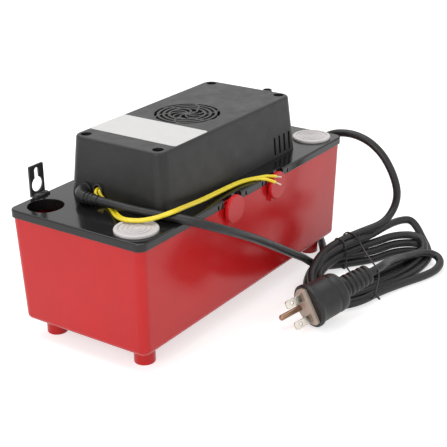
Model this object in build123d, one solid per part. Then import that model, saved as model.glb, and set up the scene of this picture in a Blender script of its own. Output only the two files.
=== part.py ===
from build123d import *
from math import asin, cos, degrees, pi, radians, sin, tan
import os

# Condensate pump: an open tank, a deck that snaps onto it, a motor under a moulded cover, a
# centrifugal pump hanging in the tank, a float switch, a mains cord and two alarm leads.
# Millimetres. The origin is on the floor under the middle of the deck, +X runs along the
# length, +Y across it and +Z up.

os.makedirs("parts", exist_ok=True)

# ---------------------------------------------------------------- driving dimensions
# Tank and deck
deck_length = 290.0
deck_width = 130.0
deck_top = 109.0
deck_thickness = 3.0
deck_corner = 7.0
deck_edge_round = 1.2
skirt_depth = 6.2
skirt_wall = 2.2
tank_overhang = 1.2
tank_draft = 2.8
tank_wall = 3.0
tank_floor = 3.0
tank_corner = 7.0
tank_bottom_round = 4.5
spigot_wall = 1.8
seat_gap = 0.3
foot_height = 15.0
foot_radius = 8.4
foot_spacing_x = 244.0
foot_spacing_y = 89.0

# Snap tabs that hold the deck on the tank
tab_spacing = 62.0
tab_radius = 11.5
tab_thickness = 3.0
tab_reach = 3.6
tab_gap = 0.6
slit_spacing = 38.0
slit_width = 2.0

# Drain inlets and their plugs
inlet_radius = 14.3
inlet_collar = 6.0
inlet_spacing_x = 249.0
inlet_spacing_y = 88.6
inlet_wall = 1.6
plug_flange = 2.2
plug_overlap = 2.5
plug_skirt = 7.0
plug_wall = 1.6
plug_gap = 0.25

# Motor cover
cover_length = 190.0
cover_width = 95.0
cover_height = 48.0
cover_draft_x = 3.5
cover_draft_y = 4.0
cover_corner = 9.0
cover_wall = 2.5
cover_edge_round = 2.4
cover_screw_spacing_x = 168.0
cover_screw_spacing_y = 70.0
cover_post_radius = 6.2
cover_counterbore = 4.4
cover_seat = 12.0
grille_radius = 27.0
grille_slot = 2.4
grille_pitch = 4.4
grille_rings = 3
grille_spokes = 6
grille_blades = 9
grille_rib = 1.5
louvre_count = 5
louvre_pitch = 7.5
louvre_width = 2.8
louvre_first = 60.0
louvre_low = 2.5
louvre_high = 18.0

# Screws
screw_radius = 1.9
screw_head = 3.7
screw_head_height = 2.4
screw_gap = 0.15
screw_boss = 4.6
screw_length = 16.0

# Wall brackets
bracket_spacing = 221.0
bracket_width = 15.5
bracket_height = 25.0
bracket_sheet = 1.5
bracket_gap = 0.2
bracket_foot = 5.0
rivet_radius = 1.2
rivet_spacing = 9.0
keyhole_radius = 6.0
keyhole_slot = 2.4
keyhole_low = 9.0
keyhole_high = 20.5

# Motor
shaft_radius = 2.5
running_gap = 0.06
stack_height = 20.0
stack_low = 9.5
stack_half_width = 30.0
stack_back = 24.0
stack_front = 58.0
stack_bore = 13.5
rotor_gap = 0.4
window_half = 16.0
window_back = 22.0
leg_back = 38.0
leg_front = 54.0
bobbin_wall = 1.2
bobbin_flange = 1.4
winding_depth = 6.8
bearing_radius = 5.0
bearing_length = 5.0
bracket_plate = 2.5
bracket_bar = 16.0
motor_screw_spacing = 46.0
fan_radius = 25.5
fan_height = 4.6
fan_hub = 7.0
fan_blades = 9
fan_blade = 1.4
fan_gap = 0.8

# Pump below the deck
column_radius = 11.0
column_bore = 7.0
column_flange = 21.0
column_flange_height = 3.0
volute_floor_gap = 6.0
volute_plate = 3.0
volute_wall = 3.0
volute_height = 22.0
volute_inner = 19.5
volute_growth = 6.0
impeller_radius = 16.5
impeller_disc = 2.0
impeller_vane_height = 8.0
impeller_vane = 1.6
impeller_vanes = 5
impeller_lift = 3.5
eye_radius = 7.0
strainer_post = 2.2
outlet_offset = 18.0
outlet_reach = 42.0
pipe_radius = 7.0
pipe_bore = 4.8
discharge_x = 121.0
barb_radius = 4.76
barb_root = 3.9
barb_bore = 3.0
barb_count = 4
barb_pitch = 6.0
barb_height = 37.0
valve_radius = 10.5
valve_depth = 26.0
valve_flange = 14.0
valve_flange_height = 3.0
valve_chamber = 8.0
ball_radius = 5.5
ball_travel = 6.0
seal_height = 1.5

# Float and switch
float_length = 44.0
float_width = 76.0
float_height = 22.0
float_gap = 6.0
float_travel = 20.0
float_corner = 6.0
stem_x = -56.0
stem_radius = 2.5
stem_top = 42.0
guide_radius = 6.0
guide_up = 4.0
guide_down = 8.0
collar_radius = 5.6
collar_height = 2.5
collar_low = 6.0
collar_clear = 10.0
rocker_arm = 26.0
rocker_thickness = 3.0
rocker_tip = 5.0
fork_gap = 0.7
fork_arm = 3.0
rocker_hub = 4.0
rocker_pin_radius = 1.5
ear_sheet = 2.0
ear_inside = 9.0
ear_height = 43.0
switch_length = 17.0
switch_width = 6.2
switch_height = 9.5
switch_offset = 10.0
button_radius = 1.2
button_reach = 3.1
button_gap = 0.3

# Cord and leads
cord_radius = 3.5
relief_y = 29.0
relief_z = 6.6
relief_bend = 11.5
relief_boot = 12.0
relief_collar = 6.2
lead_radius = 1.15
lead_y = 16.5
lead_z = 9.5
grommet_radius = 4.6
grommet_bore = 3.2

# ---------------------------------------------------------------- derived levels and halves
deck_bottom = deck_top - deck_thickness
skirt_bottom = deck_top - skirt_depth
half_x = deck_length / 2
half_y = deck_width / 2
floor_top = foot_height + tank_floor
cover_top = deck_top + cover_height
ceiling = cover_top - cover_wall
stack_bottom = deck_top + stack_low
stack_top = stack_bottom + stack_height
stack_middle = stack_bottom + stack_height / 2
volute_bottom = floor_top + volute_floor_gap
volute_top = volute_bottom + volute_plate + volute_height
cut = 0.5

parts = {}


def put(name, shape):
    parts[name] = shape


def tube(outer, inner, low, high):
    """Upright tube between two levels."""
    ring = Circle(outer) - Circle(inner)
    return Pos(0, 0, low) * extrude(ring, high - low)


def rod(radius, low, high):
    return Pos(0, 0, low) * extrude(Circle(radius), high - low)


def prism(size_x, size_y, corner, low, high):
    return Pos(0, 0, low) * extrude(RectangleRounded(size_x, size_y, corner), high - low)


def tapered(low_x, low_y, low, high_x, high_y, high, corner):
    """Drafted block between two rounded rectangles given by their half sizes."""
    base = Pos(0, 0, low) * RectangleRounded(2 * low_x, 2 * low_y, corner)
    top = Pos(0, 0, high) * RectangleRounded(2 * high_x, 2 * high_y, corner)
    return loft([base, top], ruled=True)


def four(spacing_x, spacing_y):
    """The four corners of a rectangle about the origin."""
    return [Pos(i * spacing_x / 2, j * spacing_y / 2) for i in (-1, 1) for j in (-1, 1)]


def screw(length):
    """Pan head screw hanging from z = 0 with its head above."""
    head = rod(screw_head, 0, screw_head_height)
    head = fillet(head.edges().sort_by(Axis.Z)[-1], 1.0)
    recess = Pos(0, 0, screw_head_height) * Box(4.2, 1.0, 2.0)
    recess += Pos(0, 0, screw_head_height) * Box(1.0, 4.2, 2.0)
    return head - recess + rod(screw_radius, -length, 0)


# ---------------------------------------------------------------- tank
tank_top_x = half_x - tank_overhang
tank_top_y = half_y - tank_overhang
tank_low_x = tank_top_x - tank_draft
tank_low_y = tank_top_y - tank_draft
spigot_x = half_x - skirt_wall - seat_gap
spigot_y = half_y - skirt_wall - seat_gap
tab_face = half_y + tab_reach
tab_height = deck_top - tab_radius + 1.0


def make_tank():
    shell = tapered(tank_low_x, tank_low_y, foot_height, tank_top_x, tank_top_y, skirt_bottom, tank_corner)
    low_edges = shell.edges().group_by(Axis.Z)[0]
    shell = fillet(low_edges, tank_bottom_round)
    shell += prism(2 * spigot_x, 2 * spigot_y, tank_corner - 1, skirt_bottom - cut, deck_bottom)
    cavity_x = spigot_x - spigot_wall
    cavity_y = spigot_y - spigot_wall
    shell -= tapered(
        tank_low_x - tank_wall,
        tank_low_y - tank_wall,
        floor_top,
        cavity_x,
        cavity_y,
        deck_bottom + cut,
        tank_corner - 2,
    )
    for spot in four(foot_spacing_x, foot_spacing_y):
        foot = rod(foot_radius, 0, foot_height + tank_floor / 2)
        foot = fillet(foot.edges().sort_by(Axis.Z)[0], 1.0)
        shell += spot * foot
    for side in (-1, 1):
        for end in (-1, 1):
            shell += tab(end * tab_spacing / 2, side)
    return shell


def tab(x, side):
    """Round thumb tab on a neck that springs from the wall under the deck's skirt."""
    disc = Pos(x, 0, tab_height) * (Rot(90, 0, 0) * extrude(Circle(tab_radius), tab_thickness))
    disc = fillet(disc.faces().sort_by(Axis.Y)[0].edges(), 0.8)
    disc = Pos(0, tab_thickness - tab_face, 0) * disc
    neck_low = tab_height - tab_radius
    neck_depth = tab_face - tab_thickness - spigot_y + cut
    neck_middle = tab_face - tab_thickness - neck_depth / 2 + cut / 2
    neck = Pos(x, -neck_middle, neck_low + 2.5) * Box(1.3 * tab_radius, neck_depth + cut, 6.0)
    whole = disc + neck
    return whole if side < 0 else mirror(whole, Plane.XZ)


# ---------------------------------------------------------------- deck
cover_foot_x = cover_length / 2
cover_foot_y = cover_width / 2
inlet_x = inlet_spacing_x / 2
inlet_y = inlet_spacing_y / 2
bracket_y = half_y + bracket_gap + bracket_sheet / 2
rivet_y = half_y - bracket_foot / 2
motor_screw_y = motor_screw_spacing / 2
switch_base_x = stem_x - rocker_arm
grommet_level = deck_top + lead_z


def make_lid():
    plate = prism(2 * half_x, 2 * half_y, deck_corner, skirt_bottom, deck_top)
    plate = fillet(plate.edges().group_by(Axis.Z)[-1], deck_edge_round)
    hollow = prism(
        2 * (half_x - skirt_wall),
        2 * (half_y - skirt_wall),
        deck_corner - 1,
        skirt_bottom - cut,
        deck_bottom,
    )
    plate -= hollow
    for spot in four(inlet_spacing_x, inlet_spacing_y):
        plate += spot * rod(inlet_radius + inlet_wall, deck_bottom - inlet_collar, deck_bottom)
    for spot in four(cover_screw_spacing_x, cover_screw_spacing_y):
        plate += spot * rod(screw_boss, deck_bottom - screw_length + 4, deck_bottom)
    for side in (-1, 1):
        foot = rod(screw_boss, deck_top - cut, motor_foot_level())
        plate += Pos(0, side * motor_screw_y) * foot
        plate += Pos(0, side * motor_screw_y) * rod(screw_boss, deck_bottom - 6, deck_bottom)
    plate += Pos(stem_x, 0) * rod(guide_radius, deck_bottom - guide_down, deck_top + guide_up)
    for x in (-inlet_x / 2 - 22, inlet_x / 2 + 22):
        rib = Pos(x, 0, deck_bottom - 2.5) * Box(2.0, 2 * (half_y - skirt_wall - 3), 5.0)
        plate += rib
    # Openings
    for spot in four(inlet_spacing_x, inlet_spacing_y):
        plate -= spot * rod(inlet_radius, deck_bottom - inlet_collar - cut, deck_top + cut)
    for spot in four(cover_screw_spacing_x, cover_screw_spacing_y):
        plate -= spot * rod(screw_radius + screw_gap, deck_bottom - screw_length + 6, deck_top + cut)
    for side in (-1, 1):
        bore = rod(screw_radius + screw_gap, deck_bottom - 4, motor_foot_level() + cut)
        plate -= Pos(0, side * motor_screw_y) * bore
    plate -= Pos(stem_x, 0) * rod(stem_radius + running_gap, deck_bottom - guide_down - cut, deck_top + 9)
    plate -= rod(column_bore, deck_bottom - cut, deck_top + cut)
    plate -= Pos(discharge_x, 0) * rod(valve_radius + plug_gap, deck_bottom - 8, deck_top + cut)
    # Windows for the thumb tabs, with a relief slit on each side of a tab
    for side in (-1, 1):
        for end in (-1, 1):
            x = end * tab_spacing / 2
            window = Pos(x, side * half_y, skirt_bottom) * Box(
                2 * (tab_radius + tab_gap), 2 * (skirt_wall + 1.2), 2 * (skirt_depth + cut)
            )
            plate -= window
            for way in (-1, 1):
                slit_x = x + way * slit_spacing / 2
                plate -= Pos(slit_x, side * half_y, skirt_bottom) * Box(slit_width, 2 * skirt_wall, 8.0)
    for spot in rivet_spots():
        plate -= spot * rod(rivet_radius + 0.05, deck_bottom - cut, deck_top + cut)
    return plate


def motor_foot_level():
    """Top of the two deck pillars that the lower bearing bracket stands on."""
    return stack_bottom - bracket_plate - 5.0


# ---------------------------------------------------------------- inlet plugs
def make_plug():
    flange = rod(inlet_radius + plug_overlap, deck_top, deck_top + plug_flange)
    flange = fillet(flange.edges().sort_by(Axis.Z)[-1], 0.9)
    flange -= rod(inlet_radius - 0.6, deck_top + plug_flange - 0.7, deck_top + plug_flange + cut)
    for step in range(3):
        middle = 3.5 + 3.4 * step
        flange += tube(middle + 0.5, middle - 0.5, deck_top + plug_flange - 0.8, deck_top + plug_flange - 0.3)
    outer = inlet_radius - plug_gap
    skirt = tube(outer, outer - plug_wall, deck_top - plug_skirt, deck_top + cut)
    return flange + skirt


# ---------------------------------------------------------------- motor cover
def cover_half(level):
    """Outer half sizes of the drafted cover at a level."""
    share = (level - deck_top) / cover_height
    return cover_foot_x - cover_draft_x * share, cover_foot_y - cover_draft_y * share


def make_cover():
    top_x, top_y = cover_half(cover_top)
    shell = tapered(cover_foot_x, cover_foot_y, deck_top, top_x, top_y, cover_top, cover_corner)
    shell = fillet(shell.edges().group_by(Axis.Z)[-1], cover_edge_round)
    in_x, in_y = cover_half(ceiling)
    shell -= tapered(
        cover_foot_x - cover_wall,
        cover_foot_y - cover_wall,
        deck_top,
        in_x - cover_wall,
        in_y - cover_wall,
        ceiling,
        cover_corner - cover_wall,
    )
    for spot in four(cover_screw_spacing_x, cover_screw_spacing_y):
        shell += spot * rod(cover_post_radius, deck_top, ceiling + cut)
    for spot in four(cover_screw_spacing_x, cover_screw_spacing_y):
        shell -= spot * rod(cover_counterbore, deck_top + cover_seat, cover_top + cut)
        shell -= spot * rod(screw_radius + 0.4, deck_top - cut, deck_top + cover_seat + cut)
    shell -= grille_cut()
    shell -= louvre_cut()
    shell -= Pos(-cover_foot_x, relief_y, deck_top + relief_z) * (Rot(0, 90, 0) * Cylinder(relief_collar - 1.8, 20))
    shell -= Pos(-cover_foot_x, lead_y, grommet_level) * (Rot(0, 90, 0) * Cylinder(grommet_radius - 1.4, 20))
    return shell


def curved_rib(inner, outer, bulge, angle, width):
    """A swept rib from one radius to another, for the grille and its pinwheel."""
    start = (inner, 0)
    end = (outer * cos(radians(bulge)), outer * sin(radians(bulge)))
    middle = (inner + outer) / 2
    through = (middle * cos(radians(bulge * 0.28)), middle * sin(radians(bulge * 0.28)))
    return Rot(0, 0, angle) * trace(ThreePointArc(start, through, end), width)


def grille_cut():
    """Ring slots crossed by curved spokes, round a pinwheel of curved slots."""
    slots = Sketch()
    for ring in range(grille_rings):
        outer = grille_radius - ring * grille_pitch
        slots += Circle(outer) - Circle(outer - grille_slot)
    wheel = grille_radius - grille_rings * grille_pitch
    for step in range(grille_spokes):
        angle = 360 / grille_spokes * step
        slots -= curved_rib(wheel - 1, grille_radius + 1, 26, angle, grille_rib)
    wheel_slots = Circle(wheel) - Circle(3.0)
    for step in range(grille_blades):
        wheel_slots -= curved_rib(2.0, wheel + 1, 52, 360 / grille_blades * step, grille_rib)
    pattern = slots + wheel_slots
    return Pos(0, 0, ceiling - cut) * extrude(pattern, cover_wall + 2 * cut)


def louvre_cut():
    low = deck_top + louvre_low
    high = deck_top + louvre_high
    slots = []
    for side in (-1, 1):
        for step in range(louvre_count):
            x = louvre_first + step * louvre_pitch
            slot = Pos(x, side * cover_foot_y, (low + high) / 2) * Box(louvre_width, 14.0, high - low)
            slots.append(slot)
    return slots


# ---------------------------------------------------------------- wall brackets
def rivet_spots():
    spots = []
    for end in (-1, 1):
        for way in (-1, 1):
            spots.append(Pos(end * bracket_spacing / 2 + way * rivet_spacing / 2, rivet_y))
    return spots


def make_bracket(x):
    """Keyhole plate at the back edge, with a short foot that is riveted to the deck."""
    low = deck_top
    high = deck_top + bracket_height
    outline = Pos(0, (low + high) / 2) * Rectangle(bracket_width, high - low)
    outline = fillet(outline.vertices().group_by(Axis.Y)[-1], 1.0)
    outline -= Pos(0, deck_top + keyhole_low) * Circle(keyhole_radius)
    slot_height = keyhole_high - keyhole_low
    outline -= Pos(0, deck_top + keyhole_low + slot_height / 2) * Rectangle(2 * keyhole_slot, slot_height)
    outline -= Pos(0, deck_top + keyhole_high) * Circle(keyhole_slot)
    plate = Pos(0, bracket_sheet / 2, 0) * (Rot(90, 0, 0) * extrude(outline, bracket_sheet))
    foot_depth = bracket_foot + bracket_gap + bracket_sheet
    foot_y = bracket_sheet / 2 - foot_depth / 2
    plate += Pos(0, foot_y, low + bracket_sheet / 2) * Box(bracket_width, foot_depth, bracket_sheet)
    bracket = Pos(x, bracket_y, 0) * plate
    for spot in rivet_spots():
        bracket -= spot * rod(rivet_radius + 0.05, low - cut, low + bracket_sheet + cut)
    return bracket


def make_rivets():
    rivets = []
    for spot in rivet_spots():
        rivet = rod(rivet_radius, deck_bottom, deck_top + bracket_sheet + 0.1)
        rivet += rod(2 * rivet_radius, deck_top + bracket_sheet, deck_top + bracket_sheet + 0.8)
        rivets.append(spot * rivet)
    return Compound(children=rivets)


# ---------------------------------------------------------------- motor
def make_stator():
    length = stack_back + stack_front
    block = Pos((stack_front - stack_back) / 2, 0) * RectangleRounded(length, 2 * stack_half_width, 3.0)
    block -= Circle(stack_bore)
    window = Pos((window_back + stack_front) / 2 + cut, 0)
    block -= window * Rectangle(stack_front - window_back + 2 * cut, 2 * window_half)
    for side in (-1, 1):
        block -= Pos(0, side * motor_screw_y) * Circle(screw_radius + 0.3)
        block -= Pos(-stack_bore * 0.72, side * stack_bore * 0.72) * Rot(0, 0, side * -45) * Rectangle(3.0, 2.0)
    return Pos(0, 0, stack_bottom) * extrude(block, stack_height)


def make_coil_leg():
    width = leg_front - leg_back
    return Pos((leg_front + leg_back) / 2, 0, stack_middle) * Box(width, 2 * window_half, stack_height)


def leg_ring(grow_out, grow_in, half_length):
    """Rectangular tube round the coil leg, along Y."""
    width = leg_front - leg_back
    outer = Rectangle(width + 2 * grow_out, stack_height + 2 * grow_out)
    inner = Rectangle(width + 2 * grow_in, stack_height + 2 * grow_in)
    ring = Rot(90, 0, 0) * extrude(outer - inner, 2 * half_length)
    return Pos((leg_front + leg_back) / 2, half_length, stack_middle) * ring


def make_bobbin():
    fit = 0.15
    half_length = window_half - 0.4
    core = leg_ring(fit + bobbin_wall, fit, half_length)
    flange = leg_ring(fit + bobbin_wall + winding_depth, fit, bobbin_flange / 2)
    for side in (-1, 1):
        core += Pos(0, side * (half_length - bobbin_flange / 2), 0) * flange
    return core


def make_winding():
    fit = 0.15
    half_length = window_half - 0.4 - bobbin_flange
    coil = leg_ring(fit + bobbin_wall + winding_depth - 0.8, fit + bobbin_wall, half_length)
    corners = coil.edges().filter_by(Axis.Y).sort_by_distance(coil.center())[-4:]
    return fillet(corners, 4.0)


def bearing_bracket(inward):
    """Bridge across the stack's bore with a bearing hub, its feet on z = 0, standing up."""
    foot = 5.0
    bar = Pos(0, 0, foot + bracket_plate / 2) * Box(bracket_bar, 2 * stack_half_width - 4, bracket_plate)
    for side in (-1, 1):
        leg_y = side * (stack_half_width - 2 - 4.5)
        bar += Pos(0, leg_y, foot / 2) * Box(bracket_bar, 9.0, foot)
    bar += rod(bearing_radius + 2.2, foot - inward, foot + bracket_plate)
    bar -= rod(bearing_radius, foot - inward - cut, foot + bracket_plate + cut)
    for side in (-1, 1):
        bar -= Pos(0, side * motor_screw_y) * rod(screw_radius + 0.3, -cut, foot + bracket_plate + cut)
    return bar


def make_fan():
    low = fan_bottom()
    body = rod(fan_hub, low, low + fan_height)
    body += tube(fan_radius, fan_hub - 1, low, low + 1.0)
    for step in range(fan_blades):
        blade = curved_rib(fan_hub - 1, fan_radius - 0.3, 30, 360 / fan_blades * step, fan_blade)
        body += Pos(0, 0, low) * extrude(blade, fan_height)
    return body - rod(shaft_radius, low - cut, low + fan_height + cut)


def fan_bottom():
    return ceiling - fan_gap - fan_height


# ---------------------------------------------------------------- pump
def spiral_face(start_radius, growth, points=12):
    """Volute outline whose radius grows evenly round one turn."""
    rim = []
    for step in range(points + 1):
        turn = step / points
        radius = start_radius + growth * turn
        angle = radians(-90 + 360 * turn)
        rim.append((radius * cos(angle), radius * sin(angle)))
    return make_face([Spline(rim), Line(rim[-1], rim[0])])


def make_volute():
    low = volute_bottom + volute_plate
    outer = spiral_face(volute_inner + volute_wall, volute_growth)
    inner = spiral_face(volute_inner, volute_growth)
    body = Pos(0, 0, low) * extrude(outer, volute_height)
    spout_z = low + (volute_height - volute_plate) / 2
    spout = Pos(outlet_reach / 2, -outlet_offset, spout_z) * (Rot(0, 90, 0) * Cylinder(pipe_radius, outlet_reach))
    body += spout
    body -= Pos(0, 0, low - cut) * extrude(inner, volute_height - volute_plate + cut)
    bore = Pos(outlet_reach / 2 + 1, -outlet_offset, spout_z) * (
        Rot(0, 90, 0) * Cylinder(pipe_bore, outlet_reach + 2)
    )
    body -= bore
    body -= rod(shaft_radius + 1.0, volute_top - volute_plate - cut, volute_top + cut)
    return body


def make_volute_cover():
    plate = Pos(0, 0, volute_bottom) * extrude(spiral_face(volute_inner + volute_wall, volute_growth), volute_plate)
    plate -= rod(eye_radius, volute_bottom - cut, volute_bottom + volute_plate + cut)
    for step in range(6):
        angle = radians(60 * step + 15)
        radius = eye_radius + 4.5
        post = rod(strainer_post, floor_top, volute_bottom + cut)
        plate += Pos(radius * cos(angle), radius * sin(angle)) * post
    return plate


def make_impeller():
    low = volute_bottom + volute_plate + impeller_lift
    wheel = rod(impeller_radius, low + impeller_vane_height, low + impeller_vane_height + impeller_disc)
    wheel += rod(5.0, low, low + impeller_vane_height + impeller_disc)
    for step in range(impeller_vanes):
        vane = curved_rib(4.5, impeller_radius - 0.4, -48, 360 / impeller_vanes * step, impeller_vane)
        wheel += Pos(0, 0, low) * extrude(vane, impeller_vane_height + cut)
    return wheel - rod(shaft_radius, low - cut, low + impeller_vane_height + impeller_disc + cut)


def make_column():
    low = volute_top
    column = tube(column_radius, column_bore, low, deck_bottom)
    column += tube(column_flange, column_bore, deck_bottom - column_flange_height, deck_bottom)
    column += tube(column_radius + 6, column_bore, low, low + column_flange_height)
    for step in range(4):
        web = Pos(column_radius + 2.5, 0, deck_bottom - 9) * Box(6.0, 2.0, 13.0)
        column += Rot(0, 0, 45 + 90 * step) * web
    for height in (volute_top + 10, volute_top + 24):
        for angle in (0, 90):
            column -= Rot(0, 0, angle) * (Pos(0, 0, height) * Box(60, 5.0, 6.0))
    for side in (-1, 1):
        column -= Pos(0, side * motor_screw_y) * rod(screw_boss + 0.3, deck_bottom - 7, deck_bottom + cut)
    return column


def pipe_level():
    return volute_bottom + volute_plate + (volute_height - volute_plate) / 2


def make_discharge_pipe():
    level = pipe_level()
    start = Vector(outlet_reach, -outlet_offset, level)
    route = [
        start,
        Vector(outlet_reach + 22, -outlet_offset, level),
        Vector(discharge_x, 0, level),
        Vector(discharge_x, 0, deck_bottom - valve_depth),
    ]
    path = FilletPolyline(*route, radius=[14.0, 16.0])
    section = Plane(origin=start, z_dir=(1, 0, 0)) * (Circle(pipe_radius) - Circle(pipe_bore))
    return sweep(section, path=path)


def make_check_valve():
    low = deck_bottom - valve_depth
    base = deck_top + seal_height
    body = rod(valve_radius, low, base)
    body += rod(valve_flange, base, base + valve_flange_height)
    body += Pos(0, 0, base + valve_flange_height) * extrude(RegularPolygon(9.5, 6), 4.0)
    body += rod(barb_root, base, base + barb_height)
    tip = base + barb_height
    for step in range(barb_count):
        high = tip - 0.6 - step * barb_pitch
        tooth = Pos(0, 0, high - barb_pitch + 1.6) * Cone(
            barb_radius, barb_root, barb_pitch - 1.6, align=(Align.CENTER, Align.CENTER, Align.MIN)
        )
        body += tooth
    seat = low + 6.0
    body -= rod(barb_bore, seat - 8, tip + cut)
    body -= rod(pipe_bore - 0.8, low - cut, seat)
    body -= rod(valve_chamber, seat, seat + 2 * ball_radius + ball_travel + 1.5)
    return Pos(discharge_x, 0) * body


def ball_centre():
    seat = deck_bottom - valve_depth + 6.0
    throat = pipe_bore - 0.8
    return seat + (ball_radius**2 - throat**2) ** 0.5


# ---------------------------------------------------------------- float and switch
def make_float():
    low = floor_top + float_gap
    block = Pos(0, 0, low + float_height / 2) * Box(float_length, float_width, float_height)
    block = fillet(block.edges().filter_by(Axis.Z), float_corner)
    block = fillet(block.edges().group_by(Axis.Z)[0], 2.0)
    block = fillet(block.edges().group_by(Axis.Z)[-1], 2.0)
    block += rod(6.0, low + float_height - cut, low + float_height + 4)
    block -= rod(stem_radius, low + 4, low + float_height + 6)
    return Pos(stem_x, 0) * block


def fork_level():
    """Middle of the gap between the stem's collars when the float is down."""
    return deck_top + collar_low + collar_height + collar_clear / 2


def make_stem():
    low = floor_top + float_gap + 4
    stem = rod(stem_radius, low, deck_top + stem_top - float_travel)
    first = deck_top + collar_low
    second = first + collar_height + collar_clear
    for level in (first, second):
        stem += rod(collar_radius, level, level + collar_height)
    return Pos(stem_x, 0) * stem


rocker_swing = degrees(asin(float_travel / 2 / rocker_arm))
pivot_level = fork_level() + float_travel / 2


def make_rocker():
    """Forked lever, level here, then tipped down to where the resting float holds it."""
    half_slot = stem_radius + fork_gap
    half_width = half_slot + fork_arm
    reach = rocker_arm + rocker_tip
    plate = Pos(reach / 2, 0) * Rectangle(reach, 2 * half_width)
    slot_start = rocker_arm - 6.0
    plate -= Pos((slot_start + reach) / 2 + 1, 0) * Rectangle(reach - slot_start + 2, 2 * half_slot)
    lever = Pos(0, 0, -rocker_thickness / 2) * extrude(plate, rocker_thickness)
    hub = Rot(90, 0, 0) * extrude(Circle(rocker_hub), 2 * (ear_inside - 0.4))
    lever += Pos(0, ear_inside - 0.4, 0) * hub
    bore = Rot(90, 0, 0) * extrude(Circle(rocker_pin_radius + running_gap), 4 * ear_inside)
    lever -= Pos(0, 2 * ear_inside, 0) * bore
    return Pos(switch_base_x, 0, pivot_level) * (Rot(0, rocker_swing, 0) * lever)


def make_rocker_pin():
    length = 2 * (ear_inside + ear_sheet) + 2
    pin = Rot(90, 0, 0) * extrude(Circle(rocker_pin_radius), length)
    return Pos(switch_base_x, length / 2, pivot_level) * pin


def switch_place(side):
    x = switch_base_x + switch_offset
    y = side * (ear_inside - switch_width / 2 - 0.1)
    return x, y


def button_level():
    """Lowest point of a button, just above the rocker at the top of its swing."""
    rise = switch_offset * tan(radians(rocker_swing)) + rocker_thickness / 2 / cos(radians(rocker_swing))
    edge = button_radius * tan(radians(rocker_swing))
    return pivot_level + rise + edge + button_gap


def make_switch(side):
    x, y = switch_place(side)
    low = button_level() + button_reach
    body = Pos(x, y, low + switch_height / 2) * Box(switch_length, switch_width, switch_height)
    body = fillet(body.edges().filter_by(Axis.Y), 0.8)
    pocket = rod(button_radius + 0.3, low - cut, low + 4)
    return body - Pos(x, y) * pocket


def make_button(side):
    x, y = switch_place(side)
    low = button_level()
    button = rod(button_radius, low, low + button_reach + 2.5)
    return Pos(x, y) * button


def make_switch_bracket():
    base_low = deck_top
    back = switch_base_x - 5.5
    front = stem_x - guide_radius - 1.0
    base = Pos((back + front) / 2, 0, base_low + ear_sheet / 2) * Box(front - back, 2 * (ear_inside + ear_sheet), ear_sheet)
    for side in (-1, 1):
        y = side * (ear_inside + ear_sheet / 2)
        ear = Pos((back + front) / 2, y, base_low + ear_height / 2) * Box(front - back, ear_sheet, ear_height)
        base += ear
    hole = Rot(90, 0, 0) * extrude(Circle(rocker_pin_radius), 6 * ear_inside)
    base -= Pos(switch_base_x, 3 * ear_inside, pivot_level) * hole
    return base


# ---------------------------------------------------------------- cord, leads and mains plug
def tube_along(points, radius, name, share=0.45):
    """Round cord along straight runs joined by the largest arcs that the runs allow."""
    spots = [Vector(*point) for point in points]
    radii = []
    for before, here, after in zip(spots, spots[1:], spots[2:]):
        first = here - before
        second = after - here
        turn = first.get_angle(second)
        radii.append(share * min(first.length, second.length) / tan(radians(turn / 2)))
    path = FilletPolyline(*spots, radius=radii)
    start = Plane(origin=spots[0], z_dir=(spots[1] - spots[0]))
    solid = sweep(start * Circle(radius), path=path)
    expected = pi * radius**2 * path.length
    print(name, "length", round(path.length, 1), "radii", [round(r, 1) for r in radii])
    print(name, "volume / section x length", round(solid.volume / expected, 4))
    return solid


def make_relief():
    """Moulded strain relief: collar on the cover's end wall, then a boot that bends along it."""
    wall_x = -cover_half(deck_top + relief_z)[0]
    level = deck_top + relief_z
    steps = 4
    places = [(0.0, cord_radius + 2.2)]
    for step in range(1, steps + 1):
        places.append((90.0 * step / steps, cord_radius + 2.2 - 0.4 * step))
    sections = []
    for angle, radius in places:
        x = wall_x - 1.5 - relief_bend * sin(radians(angle))
        y = relief_y - relief_bend * (1 - cos(radians(angle)))
        way = (-cos(radians(angle)), -sin(radians(angle)), 0)
        sections.append(Plane(origin=(x, y, level), z_dir=way) * Circle(radius))
    elbow = loft(sections)
    end_x = wall_x - 1.5 - relief_bend
    end_y = relief_y - relief_bend
    end_radius = places[-1][1]
    boot = Pos(end_x, end_y, level) * (Rot(90, 0, 0) * Cone(
        end_radius, cord_radius + 0.35, relief_boot, align=(Align.CENTER, Align.CENTER, Align.MIN)
    ))
    for step in range(3):
        ring_y = end_y + 0.6 - 3.4 * step
        ring = Rot(90, 0, 0) * Cylinder(end_radius + 0.9 - 0.25 * step, 1.6)
        boot += Pos(end_x, ring_y, level) * ring
    collar = Pos(wall_x - 1.5 / 2 - 0.5, relief_y, level) * (Rot(0, 90, 0) * Cylinder(relief_collar, 1.5))
    stub = Pos(wall_x + 2.0, relief_y, level) * (Rot(0, 90, 0) * Cylinder(relief_collar - 1.95, 8.0))
    return elbow + boot + collar + stub


def relief_end():
    wall_x = -cover_half(deck_top + relief_z)[0]
    return wall_x - 1.5 - relief_bend, relief_y - relief_bend - relief_boot, deck_top + relief_z


def make_grommet():
    wall_x = -cover_half(grommet_level)[0]
    body = tube(grommet_radius, grommet_bore, -1.2, 0.0)
    body += tube(grommet_radius - 1.5, grommet_bore, -0.5, 5.0)
    return Pos(wall_x - 0.5, lead_y, grommet_level) * (Rot(0, 90, 0) * body)


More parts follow.
